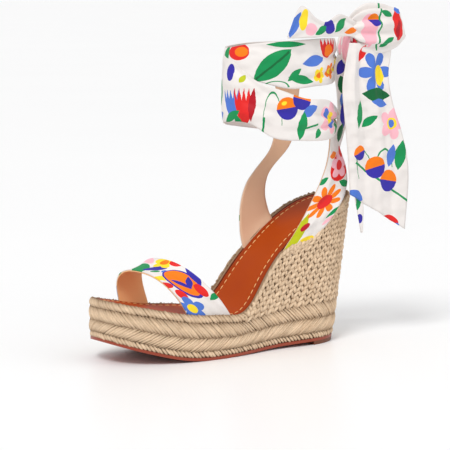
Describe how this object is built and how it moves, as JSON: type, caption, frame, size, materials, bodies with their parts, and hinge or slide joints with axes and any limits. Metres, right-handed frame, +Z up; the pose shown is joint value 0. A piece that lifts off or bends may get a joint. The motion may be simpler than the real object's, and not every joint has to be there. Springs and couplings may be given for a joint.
{
  "type": "wedge sandal",
  "caption": "Left ankle-wrap wedge sandal: plaited jute covered wedge, leather insole, floral toe band and a scarf tied round the ankle.",
  "frame": {"origin": "centre of the heel top piece's ground face", "axes": "+Z up, toe towards -X, inner side of the foot towards +Y, outer side towards -Y"},
  "size_m": [0.287, 0.0849, 0.284],
  "materials": {
    "jute": "plaited natural jute",
    "cork": "pressed cork",
    "fibre_board": "pressed fibre board",
    "foam": "soft foam",
    "steel": "brushed",
    "outsole_leather": "smooth red-brown leather",
    "heel_rubber": "matt brown rubber",
    "sock_leather": "smooth tan leather",
    "binding_leather": "smooth dark leather",
    "lining_leather": "fine pale tan leather",
    "printed_cloth": "floral print on white satin"
  },
  "bodies": {
    "sole_unit": {"outsole": "outsole_leather", "heel_top_piece": "heel_rubber", "heel_nails": "steel", "foot_rope_row": "jute", "lower_braid_band": "jute", "upper_braid_band": "jute", "insole_rope_row": "jute", "wedge_braid_outer": "jute", "wedge_braid_inner": "jute", "wedge_core": "cork", "steel_shank": "steel", "shank_rivets": "steel", "insole_board": "fibre_board", "insole_padding": "foam", "leather_sock": "sock_leather", "insole_binding": "binding_leather", "strap_tacks": "steel", "toe_band": "printed_cloth", "toe_band_lining": "lining_leather", "outer_tie_anchor": "printed_cloth", "outer_tie_anchor_lining": "lining_leather", "inner_tie_anchor": "printed_cloth", "inner_tie_anchor_lining": "lining_leather"},
    "ankle_wrap": {"outer_tie_riser": "printed_cloth", "outer_tie_riser_lining": "lining_leather", "inner_tie_riser": "printed_cloth", "inner_tie_riser_lining": "lining_leather", "wrap_lower_turn": "printed_cloth", "wrap_upper_turn": "printed_cloth", "bow_knot": "printed_cloth", "short_ends": "printed_cloth"},
    "tail": {"long_tail": "printed_cloth", "tail_folded_edge": "printed_cloth"},
    "loop": {"bow_loop": "printed_cloth"}
  },
  "joints": [
    {"name": "ankle_lean", "type": "hinge", "parent": "sole_unit", "child": "ankle_wrap", "pos_m": [-0.031, 0, 0.093], "axis": [0, 1, 0], "range_deg": [-22, 3]},
    {"name": "tail_swing", "type": "hinge", "parent": "ankle_wrap", "child": "tail", "pos_m": [0.03, -0.034, 0.248], "axis": [0, 1, 0], "range_deg": [-20, 15]},
    {"name": "loop_swing", "type": "hinge", "parent": "ankle_wrap", "child": "loop", "pos_m": [0.03, -0.029, 0.248], "axis": [0, 1, 0], "range_deg": [-12, 12]}
  ]
}
